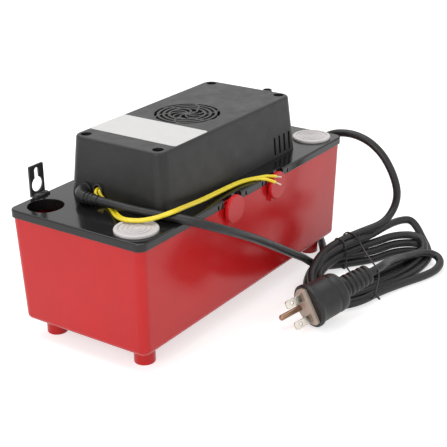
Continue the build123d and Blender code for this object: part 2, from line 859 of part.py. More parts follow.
# Mains plug: it lies on its rim, with its boot raised on the hank
plug_face = (-9.0, -121.5, 18.7)
plug_yaw = -21.0
plug_rise = 10.5
plug_roll = -26.0
plug_rim = 18.4
plug_body_radius = 16.6
plug_body_length = 29.0
plug_neck = 9.6
plug_boot_length = 36.0
plug_boot_rings = 6
plug_recess = 1.6
plate_radius = 16.0
plate_chord = 5.5
plate_thickness = 2.2
blade_spacing = 18.26
blade_width = 6.35
blade_thickness = 1.5
blade_length = 17.8
blade_hole = 1.6
ground_offset = 11.9
ground_radius = 2.4
ground_length = 21.3


def plug_frame():
    """Local frame of the mains plug: +Z runs from its face to its boot, X across its blades."""
    return Pos(*plug_face) * Rot(0, 0, plug_yaw) * Rot(0, 90 - plug_rise, 0) * Rot(0, 0, plug_roll)


def plug_point(distance):
    """Point on the plug's axis, measured from its face towards the boot."""
    point = plug_frame() * Pos(0, 0, distance)
    return tuple(point.position)


def make_plug_body():
    """Turned outline of the moulded plug with a recessed face, a waist and a ringed boot."""
    boot_start = plug_body_length
    boot_end = boot_start + plug_boot_length
    end_radius = cord_radius + 0.6
    profile = [
        (0.0, plug_recess),
        (plate_radius + 0.2, plug_recess),
        (plate_radius + 0.2, 0.0),
        (plug_rim, 0.0),
        (plug_rim, 3.4),
        (plug_body_radius, 5.6),
        (plug_body_radius - 0.8, plug_body_length * 0.5),
        (plug_body_radius - 3.2, plug_body_length * 0.82),
        (plug_neck, boot_start),
        (end_radius, boot_end),
        (0.0, boot_end),
    ]
    outline = make_face(Polyline(*[(r, 0, z) for r, z in profile], close=True))
    body = revolve(outline, Axis.Z)
    for step in range(plug_boot_rings):
        share = (step + 0.5) / plug_boot_rings
        radius = plug_neck + (end_radius - plug_neck) * share
        groove = tube(radius + 3.0, radius - 1.2, 0, 2.0)
        body -= Pos(0, 0, boot_start + plug_boot_length * share) * groove
    return body


def make_plug_plate():
    """Hard plate that carries the blades: a disc with one straight side, set in the face."""
    disc = Circle(plate_radius)
    side = Pos(0, -plate_chord - plate_radius) * Rectangle(3 * plate_radius, 2 * plate_radius)
    low = plug_recess - plate_thickness
    plate = Pos(0, 0, low) * extrude(disc - side, plate_thickness)
    for x in (-1, 1):
        plate -= Pos(x * blade_spacing / 2, 0, 0) * Box(blade_width, blade_thickness, 4 * plate_thickness)
    return plate - Pos(0, ground_offset) * rod(ground_radius, -plate_thickness, plate_thickness)


def make_blades():
    """Two flat blades in one plane, each with its hole and a rounded end."""
    blades = []
    for side in (-1, 1):
        outline = Pos(0, (plug_recess - blade_length) / 2) * Rectangle(blade_width, blade_length + plug_recess)
        outline = fillet(outline.vertices().group_by(Axis.Y)[0], 1.8)
        outline -= Pos(0, 5.6 - blade_length) * Circle(blade_hole)
        blade = Pos(0, blade_thickness / 2, 0) * (Rot(90, 0, 0) * extrude(outline, blade_thickness))
        blades.append(Pos(side * blade_spacing / 2, 0, 0) * blade)
    return Compound(children=blades)


def make_ground_pin():
    pin = rod(ground_radius, -ground_length, plug_recess)
    pin = fillet(pin.edges().sort_by(Axis.Z)[0], ground_radius * 0.7)
    return Pos(0, ground_offset) * pin


# The cord leaves its relief along the deck, bends over the near edge and slants down to the floor.
cord_run = [
    relief_end(),
    (-107.6, -6.0, 115.7),
    (-106.8, -20.0, 115.0),
    (-101.8, -34.0, 112.9),
    (-99.0, -50.0, 112.6),
    (-97.5, -64.0, 113.0),
    (-90.5, -77.5, 109.5),
    (-76.0, -85.5, 102.0),
    (-55.0, -87.0, 91.0),
    (-29.0, -86.0, 76.5),
    (0.0, -83.5, 59.5),
    (34.0, -80.5, 39.0),
    (60.0, -79.0, 24.0),
    (78.0, -78.0, 14.5),
    (92.0, -77.0, 10.0),
]

# One stray turn of the hank stands against the end of the tank and passes under its edge.
cord_loop = [
    (128.0, -107.0, 26.5),
    (140.0, -111.0, 31.5),
    (149.0, -114.0, 40.0),
    (153.0, -117.0, 52.0),
    (152.0, -117.5, 66.0),
    (151.0, -112.0, 82.0),
    (151.5, -101.0, 97.0),
    (152.0, -85.0, 107.0),
    (152.0, -66.0, 110.0),
    (153.0, -46.0, 105.0),
    (155.0, -30.0, 91.0),
    (157.0, -21.5, 71.0),
    (157.0, -21.0, 50.0),
    (154.5, -27.0, 30.0),
    (148.0, -37.0, 14.5),
    (138.0, -48.0, 6.5),
    (126.0, -58.0, 4.4),
    (112.0, -66.5, 3.9),
    (98.0, -70.5, 3.7),
]

# From the plug the cord runs over the hank, folds at its far end and comes back along the floor.
cord_tail = [
    plug_point(plug_body_length + plug_boot_length),
    plug_point(plug_body_length + plug_boot_length + 11.0),
    (74.0, -147.5, 31.0),
    (91.0, -144.5, 25.5),
    (108.0, -142.5, 20.5),
    (126.0, -142.5, 16.5),
    (144.0, -144.5, 12.5),
    (158.0, -148.0, 9.0),
    (164.5, -155.5, 6.0),
    (158.0, -163.0, 4.2),
    (144.0, -166.5, 3.7),
    (125.0, -165.0, 3.7),
    (105.0, -159.5, 3.7),
    (86.0, -152.5, 3.7),
]

# Two thin alarm leads run side by side: under the cord, over the near plug and back over the cord.
lead_front = [
    (-93.0, 17.8, 118.5),
    (-99.1, 17.2, 118.2),
    (-99.7, 11.8, 112.2),
    (-101.1, 3.5, 110.3),
    (-106.1, -5.2, 110.2),
    (-112.6, -13.2, 110.2),
    (-119.2, -22.4, 111.6),
    (-122.8, -32.6, 113.2),
    (-118.2, -42.7, 113.2),
    (-111.5, -51.4, 114.8),
    (-105.3, -58.1, 117.4),
    (-96.6, -61.3, 118.2),
    (-86.8, -59.8, 115.2),
    (-75.9, -58.3, 111.4),
    (-60.0, -57.8, 110.2),
    (-42.0, -57.3, 110.2),
    (-22.0, -56.8, 110.2),
    (-6.2, -57.1, 110.2),
    (3.5, -59.2, 110.2),
    (10.2, -64.1, 110.2),
    (14.0, -70.0, 109.2),
    (16.3, -74.8, 107.0),
]
lead_back = [
    (-93.0, 15.2, 118.5),
    (-97.5, 14.4, 118.2),
    (-96.5, 9.6, 111.9),
    (-98.5, 2.5, 110.3),
    (-103.9, -6.8, 110.2),
    (-110.4, -14.8, 110.2),
    (-116.8, -23.6, 111.8),
    (-120.2, -32.4, 113.2),
    (-115.8, -41.3, 113.2),
    (-109.5, -49.6, 114.8),
    (-103.7, -55.9, 117.4),
    (-96.4, -58.7, 118.2),
    (-87.2, -57.2, 115.2),
    (-76.1, -55.7, 111.4),
    (-60.0, -55.2, 110.2),
    (-42.0, -54.7, 110.2),
    (-22.0, -54.2, 110.2),
    (-5.8, -54.5, 110.2),
    (4.5, -56.8, 110.2),
    (12.2, -61.6, 110.2),
    (19.0, -66.4, 110.4),
    (24.9, -70.1, 108.5),
]
lead_tip_radius = 0.8
lead_tip_length = 5.0

hank_low_height = 14.4
hank_high_height = 28.6
hank_low_outline = [
    (104.0, -65.8),
    (80.0, -68.5),
    (56.0, -75.5),
    (38.0, -88.0),
    (27.0, -103.0),
    (24.0, -118.0),
    (31.0, -134.0),
    (46.0, -145.5),
    (66.0, -151.0),
    (86.0, -153.0),
    (120.0, -156.0),
    (152.0, -157.0),
    (174.0, -151.0),
    (189.0, -136.0),
    (192.5, -119.0),
    (182.0, -106.5),
    (164.0, -102.0),
    (144.0, -96.5),
    (125.0, -88.0),
    (112.0, -75.0),
]
hank_high_outline = [
    (128.0, -91.0),
    (106.0, -79.0),
    (84.0, -74.0),
    (62.0, -77.0),
    (46.0, -87.0),
    (38.0, -101.0),
    (41.0, -113.0),
    (52.0, -104.0),
    (66.0, -94.0),
    (84.0, -91.0),
    (102.0, -98.0),
    (120.0, -109.0),
    (142.0, -116.0),
    (158.0, -124.0),
    (166.0, -138.0),
    (184.0, -134.0),
    (192.0, -120.0),
    (188.0, -109.0),
    (170.0, -103.5),
    (150.0, -99.0),
]


def make_hank():
    """Closed outer shape of the tied hank: a low layer under the plug's boot and a high ridge."""
    hank = extrude(make_face(Spline(*hank_low_outline, periodic=True)), hank_low_height)
    hank += extrude(make_face(Polyline(*hank_high_outline, close=True)), hank_high_height)
    for name in ("power_cord_run", "power_cord_loop", "power_cord_tail", "plug_body"):
        hank -= parts[name]
    return hank


def make_tip(route):
    """Bare tinned end of a lead, in line with its last run."""
    end = Vector(*route[-1])
    way = (end - Vector(*route[-2])).normalized()
    return extrude(Plane(origin=end, z_dir=way) * Circle(lead_tip_radius), lead_tip_length)


for name, shape in (
    ("tank", make_tank()),
    ("lid", make_lid()),
    ("motor_cover", make_cover()),
    ("inlet_plug_near_left", Pos(-inlet_x, -inlet_y) * make_plug()),
    ("inlet_plug_near_right", Pos(inlet_x, -inlet_y) * make_plug()),
    ("inlet_plug_far_right", Pos(inlet_x, inlet_y) * make_plug()),
    ("wall_bracket_left", make_bracket(-bracket_spacing / 2)),
    ("wall_bracket_right", make_bracket(bracket_spacing / 2)),
    ("stator_stack", make_stator()),
    ("coil_leg", make_coil_leg()),
    ("coil_bobbin", make_bobbin()),
    ("coil_winding", make_winding()),
    ("cooling_fan", make_fan()),
    ("volute", make_volute()),
    ("volute_cover", make_volute_cover()),
    ("impeller", make_impeller()),
    ("pump_column", make_column()),
    ("discharge_pipe", make_discharge_pipe()),
    ("check_valve", make_check_valve()),
    ("valve_ball", Pos(discharge_x, 0, ball_centre()) * Sphere(ball_radius)),
    ("valve_seal", Pos(discharge_x, 0) * tube(valve_flange - 1.0, valve_radius + 0.3, deck_top, deck_top + seal_height)),
    ("switch_float", make_float()),
    ("float_stem", make_stem()),
    ("rocker", make_rocker()),
    ("rocker_pin", make_rocker_pin()),
    ("switch_bracket", make_switch_bracket()),
    ("run_switch", make_switch(1)),
    ("run_switch_button", make_button(1)),
    ("safety_switch", make_switch(-1)),
    ("safety_switch_button", make_button(-1)),
    ("strain_relief", make_relief()),
    ("lead_grommet", make_grommet()),
):
    put(name, shape)

cover_screw_level = deck_top + cover_seat
cover_screws = [spot * Pos(0, 0, cover_screw_level) * screw(cover_seat + screw_length - 7)
                for spot in four(cover_screw_spacing_x, cover_screw_spacing_y)]
put("cover_screws", Compound(children=cover_screws))

upper = Pos(0, 0, stack_top) * bearing_bracket(1.5)
lower = Pos(0, 0, stack_bottom) * (Rot(180, 0, 0) * bearing_bracket(1.5))
put("upper_bearing_bracket", upper)
put("lower_bearing_bracket", lower)
bush = tube(bearing_radius, shaft_radius + running_gap, 3.5, 3.5 + bearing_length)
put("upper_bushing", Pos(0, 0, stack_top) * bush)
put("lower_bushing", Pos(0, 0, stack_bottom) * (Rot(180, 0, 0) * bush))
put("rotor", tube(stack_bore - rotor_gap, shaft_radius, stack_bottom + 0.5, stack_top - 0.5))
shaft_low = volute_bottom + volute_plate + impeller_lift
put("motor_shaft", rod(shaft_radius, shaft_low, fan_bottom() + fan_height))
motor_screw_level = stack_top + 5.0 + bracket_plate
motor_screw_length = motor_screw_level - deck_bottom + 2
motor_screws = [Pos(0, side * motor_screw_y, motor_screw_level) * screw(motor_screw_length) for side in (-1, 1)]
put("motor_screws", Compound(children=motor_screws))

put("bracket_rivets", make_rivets())
plug = plug_frame()
put("plug_body", plug * make_plug_body())
put("plug_plate", plug * make_plug_plate())
put("plug_blades", plug * make_blades())
put("plug_ground_pin", plug * make_ground_pin())
put("power_cord_run", tube_along(cord_run, cord_radius, "cord run"))
put("power_cord_loop", tube_along(cord_loop, cord_radius, "cord loop"))
put("power_cord_tail", tube_along(cord_tail, cord_radius, "cord tail"))
put("power_cord_hank", make_hank())
put("alarm_lead_front", tube_along(lead_front, lead_radius, "front lead"))
put("alarm_lead_back", tube_along(lead_back, lead_radius, "back lead"))
put("alarm_lead_tips", Compound(children=[make_tip(lead_front), make_tip(lead_back)]))

for name, shape in parts.items():
    export_step(shape, "parts/" + name + ".step")
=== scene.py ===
from math import cos, pi, radians, sin

import bmesh
import bpy
from mathutils import Matrix, Vector


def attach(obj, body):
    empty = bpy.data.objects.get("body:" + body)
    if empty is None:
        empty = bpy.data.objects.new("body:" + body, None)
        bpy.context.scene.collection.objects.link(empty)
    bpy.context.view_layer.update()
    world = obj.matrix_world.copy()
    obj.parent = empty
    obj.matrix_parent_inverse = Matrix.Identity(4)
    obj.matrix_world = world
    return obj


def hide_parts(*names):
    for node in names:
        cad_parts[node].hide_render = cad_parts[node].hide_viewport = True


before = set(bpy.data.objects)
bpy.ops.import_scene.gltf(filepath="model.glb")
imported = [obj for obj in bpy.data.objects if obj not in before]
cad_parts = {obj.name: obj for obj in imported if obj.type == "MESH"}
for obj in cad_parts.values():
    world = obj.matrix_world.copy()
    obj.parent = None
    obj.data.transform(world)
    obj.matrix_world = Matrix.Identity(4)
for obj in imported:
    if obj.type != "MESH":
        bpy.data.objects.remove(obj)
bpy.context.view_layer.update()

MM = 0.001
HOUSING = "housing"


# ---------------------------------------------------------------- materials
# Sockets of a colour Mix node, by place, because its names repeat for each kind of data
MIX_SHARE, MIX_FIRST, MIX_SECOND, MIX_RESULT = 0, 6, 7, 2

# A worn edge is where the rounded normal leaves the true one: the two cosines between which
# the wear goes from full to none, and how much paler the worn colour is
WEAR_FULL, WEAR_NONE = 0.80, 0.97
WEAR_FACTOR, WEAR_ADDED = 1.5, 0.04
BEVEL_SAMPLES = 6

# Dust specks, the finer noise of the gloss, and the ridges of a banded surface
SPECK_SCALE = 420.0
SPECK_NONE, SPECK_FULL = 0.56, 0.74
SPECK_COLOUR = (0.55, 0.53, 0.50)
GLOSS_FINER = 2.3
RIDGE_HEIGHT = 0.0002
COAT_ROUGHNESS = 0.08


def node(tree, kind, **settings):
    """A new node with these settings."""
    made = tree.nodes.new(kind)
    for key, value in settings.items():
        setattr(made, key, value)
    return made


def set_inputs(made, **values):
    """Set input sockets by name, with _ for a space."""
    for key, value in values.items():
        made.inputs[key.replace("_", " ")].default_value = value


def noise(tree, where, scale, detail=4.0, rough=0.55):
    """The value of a noise texture at a place."""
    made = node(tree, "ShaderNodeTexNoise")
    set_inputs(made, Scale=scale, Detail=detail, Roughness=rough)
    tree.links.new(where, made.inputs["Vector"])
    return made.outputs["Fac"]


def spread(tree, value, low, high, from_low=0.3, from_high=0.7):
    """A value mapped from one range to another, and held at its ends."""
    made = node(tree, "ShaderNodeMapRange")
    made.inputs["From Min"].default_value = from_low
    made.inputs["From Max"].default_value = from_high
    made.inputs["To Min"].default_value = low
    made.inputs["To Max"].default_value = high
    tree.links.new(value, made.inputs["Value"])
    return made.outputs["Result"]


def blended(tree, share, first, second):
    """Two colours, each a tuple or an output, mixed by a share."""
    made = node(tree, "ShaderNodeMix", data_type="RGBA")
    tree.links.new(share, made.inputs[MIX_SHARE])
    for socket, value in ((MIX_FIRST, first), (MIX_SECOND, second)):
        if isinstance(value, tuple):
            made.inputs[socket].default_value = value + (1.0,)
        else:
            tree.links.new(value, made.inputs[socket])
    return made.outputs[MIX_RESULT]


def shade(colour, factor, added=0.0):
    """A colour made lighter or darker."""
    return tuple(min(1.0, part * factor + added) for part in colour)


def finish_of(
    name,
    colour,
    rough=(0.3, 0.4),
    metal=0.0,
    mottle=0.10,
    mottle_scale=60.0,
    grain=1500.0,
    grain_height=0.00002,
    wave_height=0.0,
    wave_scale=25.0,
    edge=0.25,
    dust=0.06,
    coat=0.0,
    bands=None,
    specular=0.5,
    edge_round=0.0007,
):
    """A worked surface: mottled colour, paler rounded edges, dust, uneven gloss and fine grain.

    wave_height adds slow waves, and bands=(axis, scale, dark) the lines of a stack or winding.
    """
    material = bpy.data.materials.new(name)
    material.use_nodes = True
    tree = material.node_tree
    tree.nodes.clear()
    out = node(tree, "ShaderNodeOutputMaterial")
    shader = node(tree, "ShaderNodeBsdfPrincipled")
    tree.links.new(shader.outputs[0], out.inputs["Surface"])
    where = node(tree, "ShaderNodeTexCoord").outputs["Object"]
    set_inputs(shader, Metallic=metal)
    shader.inputs["Specular IOR Level"].default_value = specular
    shader.inputs["Coat Weight"].default_value = coat
    shader.inputs["Coat Roughness"].default_value = COAT_ROUGHNESS

    slow = noise(tree, where, mottle_scale)
    share = spread(tree, slow, 0, 1)
    colour_now = blended(tree, share, shade(colour, 1 - mottle), shade(colour, 1 + mottle))
    if bands:
        axis, scale, dark = bands
        wave = node(tree, "ShaderNodeTexWave", wave_type="BANDS", bands_direction=axis)
        set_inputs(wave, Scale=scale, Distortion=0.4, Detail=1.0)
        tree.links.new(where, wave.inputs["Vector"])
        line = spread(tree, wave.outputs["Fac"], 0, 1, from_low=0.35, from_high=0.65)
        colour_now = blended(tree, line, shade(colour, dark), colour_now)
    geometry = node(tree, "ShaderNodeNewGeometry")
    rounded = node(tree, "ShaderNodeBevel", samples=BEVEL_SAMPLES)
    set_inputs(rounded, Radius=edge_round)
    apart = node(tree, "ShaderNodeVectorMath", operation="DOT_PRODUCT")
    tree.links.new(geometry.outputs["Normal"], apart.inputs[0])
    tree.links.new(rounded.outputs["Normal"], apart.inputs[1])
    worn = spread(tree, apart.outputs["Value"], edge, 0.0, WEAR_FULL, WEAR_NONE)
    colour_now = blended(tree, worn, colour_now, shade(colour, WEAR_FACTOR, WEAR_ADDED))
    fine = noise(tree, where, SPECK_SCALE, detail=6.0, rough=0.7)
    specks = spread(tree, fine, 0.0, dust, SPECK_NONE, SPECK_FULL)
    colour_now = blended(tree, specks, colour_now, SPECK_COLOUR)
    tree.links.new(colour_now, shader.inputs["Base Color"])

    gloss = noise(tree, where, mottle_scale * GLOSS_FINER, detail=5.0, rough=0.6)
    tree.links.new(spread(tree, gloss, rough[0], rough[1]), shader.inputs["Roughness"])

    bump = node(tree, "ShaderNodeBump")
    set_inputs(bump, Strength=0.6, Distance=grain_height)
    tree.links.new(noise(tree, where, grain, detail=3.0), bump.inputs["Height"])
    tree.links.new(rounded.outputs["Normal"], bump.inputs["Normal"])
    last = bump
    if wave_height:
        slow_bump = node(tree, "ShaderNodeBump")
        set_inputs(slow_bump, Strength=0.5, Distance=wave_height)
        tree.links.new(noise(tree, where, wave_scale, detail=1.0), slow_bump.inputs["Height"])
        tree.links.new(rounded.outputs["Normal"], slow_bump.inputs["Normal"])
        tree.links.new(slow_bump.outputs["Normal"], bump.inputs["Normal"])
    if bands:
        ridge = node(tree, "ShaderNodeBump")
        set_inputs(ridge, Strength=0.5, Distance=RIDGE_HEIGHT)
        tree.links.new(line, ridge.inputs["Height"])
        tree.links.new(last.outputs["Normal"], ridge.inputs["Normal"])
        last = ridge
    tree.links.new(last.outputs["Normal"], shader.inputs["Normal"])
    return material


red = finish_of(
    "tank_red", (0.60, 0.012, 0.014), rough=(0.16, 0.26), mottle=0.05, mottle_scale=18.0,
    grain=900.0, grain_height=0.00001, wave_height=0.0012, wave_scale=14.0, edge=0.35, dust=0.015,
    specular=0.32,
)
deck = finish_of(
    "deck_gloss_black", (0.009, 0.009, 0.0093), rough=(0.10, 0.20), mottle=0.12, mottle_scale=30.0,
    grain=1400.0, grain_height=0.00001, wave_height=0.0006, wave_scale=20.0, edge=0.5, dust=0.02,
    specular=0.40,
)
cover = finish_of(
    "cover_satin_black", (0.016, 0.0157, 0.0157), rough=(0.36, 0.50), mottle=0.10,
    mottle_scale=40.0, grain=2300.0, grain_height=0.00006, edge=0.5, dust=0.03, specular=0.40,
)
ivory = finish_of(
    "plug_soft_white", (0.60, 0.565, 0.565), rough=(0.42, 0.55), mottle=0.04, grain=1200.0,
    grain_height=0.00003, edge=0.15, dust=0.02,
)
paint = finish_of(
    "bracket_paint", (0.030, 0.030, 0.031), rough=(0.35, 0.55), mottle=0.15, grain=1000.0,
    grain_height=0.00005, edge=0.6, dust=0.06,
)
steel = finish_of(
    "plain_steel", (0.55, 0.55, 0.56), rough=(0.22, 0.42), metal=1.0, mottle=0.10, grain=1800.0,
    grain_height=0.00001, edge=0.2, dust=0.04,
)
sheets = finish_of(
    "stacked_sheets", (0.30, 0.31, 0.33), rough=(0.35, 0.55), metal=1.0, mottle=0.15,
    bands=("Z", 400.0, 0.45),
)
nylon = finish_of("natural_nylon", (0.76, 0.74, 0.68), rough=(0.35, 0.5), mottle=0.05, dust=0.03)
winding = finish_of(
    "enamelled_wire", (0.50, 0.20, 0.075), rough=(0.22, 0.34), metal=0.7, mottle=0.15,
    bands=("Z", 260.0, 0.3),
)
bronze = finish_of(
    "sintered_bronze", (0.56, 0.36, 0.17), rough=(0.4, 0.55), metal=1.0, grain=2600.0,
    grain_height=0.00004,
)
glass_filled = finish_of(
    "glass_filled_black", (0.035, 0.035, 0.038), rough=(0.45, 0.62), grain=1900.0,
    grain_height=0.00005,
)
foam = finish_of(
    "float_moulding", (0.70, 0.69, 0.65), rough=(0.5, 0.65), mottle=0.06, grain=800.0,
    grain_height=0.0001,
)
thermoset = finish_of("switch_black", (0.035, 0.035, 0.040), rough=(0.4, 0.52))
button_red = finish_of("button_red", (0.55, 0.045, 0.035), rough=(0.3, 0.42))
rubber = finish_of(
    "black_rubber", (0.030, 0.030, 0.030), rough=(0.55, 0.7), grain=1300.0, grain_height=0.00005,
)
jacket = finish_of(
    "cord_jacket", (0.013, 0.013, 0.0135), rough=(0.34, 0.50), mottle=0.14, mottle_scale=70.0,
    grain=1100.0, grain_height=0.00007, edge=0.3, dust=0.03, specular=0.38,
)
moulding = finish_of(
    "plug_moulding", (0.012, 0.012, 0.0125), rough=(0.36, 0.52), mottle=0.14, grain=1200.0,
    grain_height=0.00006, edge=0.3, dust=0.03, specular=0.38,
)
tie_black = finish_of(
    "tie_black", (0.012, 0.012, 0.012), rough=(0.3, 0.45), grain=1500.0, dust=0.02,
)
yellow = finish_of(
    "lead_yellow", (0.86, 0.68, 0.018), rough=(0.28, 0.40), mottle=0.07, mottle_scale=120.0,
    grain=1600.0, grain_height=0.00002, edge=0.1, dust=0.03, coat=0.2,
)
tinned = finish_of("tinned_wire", (0.62, 0.52, 0.42), rough=(0.25, 0.4), metal=1.0, grain=2500.0)
plate = finish_of(
    "plug_plate_beige", (0.52, 0.44, 0.36), rough=(0.38, 0.5), mottle=0.06, grain=1300.0,
    grain_height=0.00004, edge=0.2,
)
blades = finish_of(
    "blade_nickel", (0.50, 0.46, 0.40), rough=(0.18, 0.34), metal=1.0, mottle=0.08, grain=2000.0,
    edge=0.2, dust=0.03,
)
pin = finish_of(
    "pin_copper", (0.33, 0.21, 0.14), rough=(0.30, 0.45), metal=1.0, mottle=0.10, grain=2000.0,
    edge=0.2, dust=0.03,
)
paper = finish_of(
    "label_plate", (0.60, 0.595, 0.585), rough=(0.30, 0.42), mottle=0.03, mottle_scale=90.0,
    grain=2600.0, grain_height=0.00001, edge=0.1, dust=0.02,
)

node_finish = {
    "tank": red,
    "lid": deck,
    "motor_cover": cover,
    "inlet_plug_near_left": ivory,
    "inlet_plug_near_right": ivory,
    "inlet_plug_far_right": ivory,
    "wall_bracket_left": paint,
    "wall_bracket_right": paint,
    "bracket_rivets": paint,
    "stator_stack": sheets,
    "coil_leg": sheets,
    "coil_bobbin": nylon,
    "coil_winding": winding,
    "cooling_fan": nylon,
    "volute": glass_filled,
    "volute_cover": glass_filled,
    "impeller": nylon,
    "pump_column": glass_filled,
    "discharge_pipe": glass_filled,
    "check_valve": glass_filled,
    "valve_ball": rubber,
    "valve_seal": rubber,
    "switch_float": foam,
    "float_stem": nylon,
    "rocker": nylon,
    "rocker_pin": steel,
    "switch_bracket": steel,
    "run_switch": thermoset,
    "run_switch_button": button_red,
    "safety_switch": thermoset,
    "safety_switch_button": button_red,
    "strain_relief": jacket,
    "lead_grommet": rubber,
    "cover_screws": steel,
    "upper_bearing_bracket": steel,
    "lower_bearing_bracket": steel,
    "upper_bushing": bronze,
    "lower_bushing": bronze,
    "rotor": sheets,
    "motor_shaft": steel,
    "motor_screws": steel,
    "plug_body": moulding,
    "plug_plate": plate,
    "plug_blades": blades,
    "plug_ground_pin": pin,
}
for name, material in node_finish.items():
    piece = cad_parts[name]
    piece.data.materials.clear()
    piece.data.materials.append(material)


# ---------------------------------------------------------------- piece helpers
def dressed(name, data, material):
    """A new object of its own, riding on the housing."""
    piece = bpy.data.objects.new(name, data)
    bpy.context.scene.collection.objects.link(piece)
    data.materials.append(material)
    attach(piece, HOUSING)
    return piece


def round_curve(name, radius, sides, resolution, caps=True):
    """An empty curve with a round section, its radius in millimetres."""
    curve = bpy.data.curves.new(name, "CURVE")
    curve.dimensions = "3D"
    curve.bevel_depth = radius * MM
    curve.bevel_resolution = sides
    curve.resolution_u = resolution
    curve.use_fill_caps = caps
    return curve


def add_spline(curve, places, closed=False):
    """One NURBS spline with these control points in metres; its order is set after them."""
    spline = curve.splines.new("NURBS")
    spline.points.add(len(places) - 1)
    for spot, place in zip(spline.points, places):
        spot.co = (*place, 1.0)
    spline.order_u = 3
    if closed:
        spline.use_cyclic_u = True
    else:
        spline.use_endpoint_u = True


def spline_curve(name, points, radius):
    """One open NURBS spline with the given control points in millimetres."""
    curve = round_curve(name, radius, sides=6, resolution=8)
    add_spline(curve, [(x * MM, y * MM, z * MM) for x, y, z in points])
    return curve


def mesh_of(name, verts, faces, smooth=True):
    """A mesh from vertices in millimetres, with its faces turned outwards."""
    mesh = bpy.data.meshes.new(name)
    mesh.from_pydata([Vector(v) * MM for v in verts], [], faces)
    mesh.update()
    work = bmesh.new()
    work.from_mesh(mesh)
    bmesh.ops.recalc_face_normals(work, faces=work.faces)
    work.to_mesh(mesh)
    work.free()
    for face in mesh.polygons:
        face.use_smooth = smooth
    return mesh


# ---------------------------------------------------------------- mains cord
CORD_RADIUS = 3.5
cord_start = [
    (-107.4, 5.5, 115.6),
    (-107.6, -6.0, 115.7),
    (-106.8, -20.0, 115.0),
    (-101.8, -34.0, 112.9),
    (-99.0, -50.0, 112.6),
    (-97.5, -64.0, 113.0),
    (-90.5, -77.5, 109.5),
    (-76.0, -85.5, 102.0),
    (-55.0, -87.0, 91.0),
    (-29.0, -86.0, 76.5),
    (0.0, -83.5, 59.5),
    (34.0, -80.5, 39.0),
    (60.0, -76.0, 24.0),
    (76.0, -75.0, 12.5),
    (88.0, -79.0, 5.5),
    (102.0, -87.5, 3.8),
]

# Plan of the widest and the tightest turn of the hank. Points 0-3 run along its far side,
# 4-6 round its right end, 7-11 back along its near side, 12-15 round its left end, and
# 16-17 start the next turn.
widest = [
    (123, -97), (141, -102), (160, -107), (169, -116),
    (171, -129), (167, -139), (157, -146.5),
    (144, -149), (125, -149.5), (105, -146), (86, -140), (68, -133.5),
    (50, -126), (37, -114), (38, -99), (51, -87.5),
    (73, -79.5), (97, -83),
]
tightest = [
    (120, -102), (132, -109.5), (150, -115), (160.5, -123),
    (166, -131), (166, -138.5), (156, -144),
    (138, -139), (118, -136.5), (100, -132), (84, -127), (69, -122),
    (58, -116), (50, -107), (53, -96.5), (66, -89.5),
    (80, -85), (99, -88),
]
# How many points each of those sides has
SIDES = [4, 3, 5, 4, 2]

# Each turn, side by side: how far in it lies (0 widest, 1 tightest, past 1 tighter still), and
# the heights at which that side starts and ends.
turns = [
    ((1.0, 3.8, 3.8), (1.0, 3.8, 3.8), (1.08, 3.8, 3.8), (1.0, 3.8, 5.0), (0.2, 7.0, 10.9)),
    (
        (0.8, 10.9, 10.9), (0.7, 10.9, 10.9), (1.05, 10.9, 10.9), (0.95, 10.9, 10.9),
        (1.3, 10.9, 14.0),
    ),
    ((0.6, 18.0, 18.0), (0.5, 18.0, 12.0), (0.45, 6.0, 3.8), (0.45, 3.8, 10.0), (0.5, 14.0, 19.5)),
]


def turn_points(turn):
    """Control points of one turn, between the widest and the tightest plan."""
    made = []
    index = 0
    for count, (inward, low, high) in zip(SIDES, turn):
        for step in range(count):
            wide = widest[index]
            tight = tightest[index]
            x = wide[0] + (tight[0] - wide[0]) * inward
            y = wide[1] + (tight[1] - wide[1]) * inward
            made.append((x, y, low + (high - low) * step / (count - 1)))
            index += 1
    return made


# The last turn starts as a small raised loop that drops outside the others at the right end.
cord_small = [
    (119, -100, 25.2), (136, -103.5, 25.4), (152, -105, 25.8), (166, -108, 26.4), (175, -112.5, 27),
    (181, -118.5, 26.5), (180.5, -125.5, 21), (177, -132, 14.5), (171, -141, 8), (160, -148.5, 4.5),
    (145, -150.5, 3.8), (126, -150.8, 3.8), (106, -147.4, 3.8), (86, -141.3, 3.8),
    (68, -134.6, 3.8), (50, -126, 3.8), (37, -114, 5.5), (38, -99, 9.5), (50, -88.5, 14),
]
# Then it rises along the far side, goes over the tall loop and down behind the hank, round the
# left end on the floor, along the near side to the right end, and back up to the plug.
cord_rise = [(67, -83, 16), (83, -79.5, 18), (99, -80, 20.5), (114, -88, 25.5), (127, -99, 30.5)]
cord_loop = [
    (139.0, -110.0, 35.0),
    (148.0, -114.0, 42.0),
    (152.5, -117.0, 53.0),
    (152.0, -117.5, 66.0),
    (151.0, -112.0, 82.0),
    (151.5, -101.0, 97.0),
    (152.0, -85.0, 107.0),
    (152.0, -66.0, 110.0),
    (153.0, -46.0, 105.0),
    (155.0, -30.0, 91.0),
    (157.0, -21.5, 71.0),
    (157.0, -21.0, 50.0),
    (154.5, -27.0, 30.0),
    (148.0, -37.0, 14.5),
    (138.0, -48.0, 6.5),
    (126.0, -58.0, 4.4),
    (112.0, -66.5, 3.9),
    (98.0, -70.5, 3.7),
]
cord_bend = [
    (80, -72.5, 3.7), (62, -79, 3.7), (45, -88, 3.7), (32, -101, 3.7), (27, -116, 3.7),
    (34, -130, 3.7), (50, -138.5, 3.7), (71, -142.5, 3.7),
]
cord_tail = [
    (90.0, -148.5, 3.7),
    (108.0, -155.5, 3.7),
    (124.0, -162.0, 3.7),
    (139.0, -165.5, 4.2),
    (152.0, -163.5, 6.0),
    (158.5, -156.0, 8.5),
    (153.0, -148.0, 11.0),
    (137.0, -144.0, 14.5),
    (116.0, -141.0, 18.8),
    (97.0, -141.5, 23.5),
    (79.0, -145.5, 29.0),
]

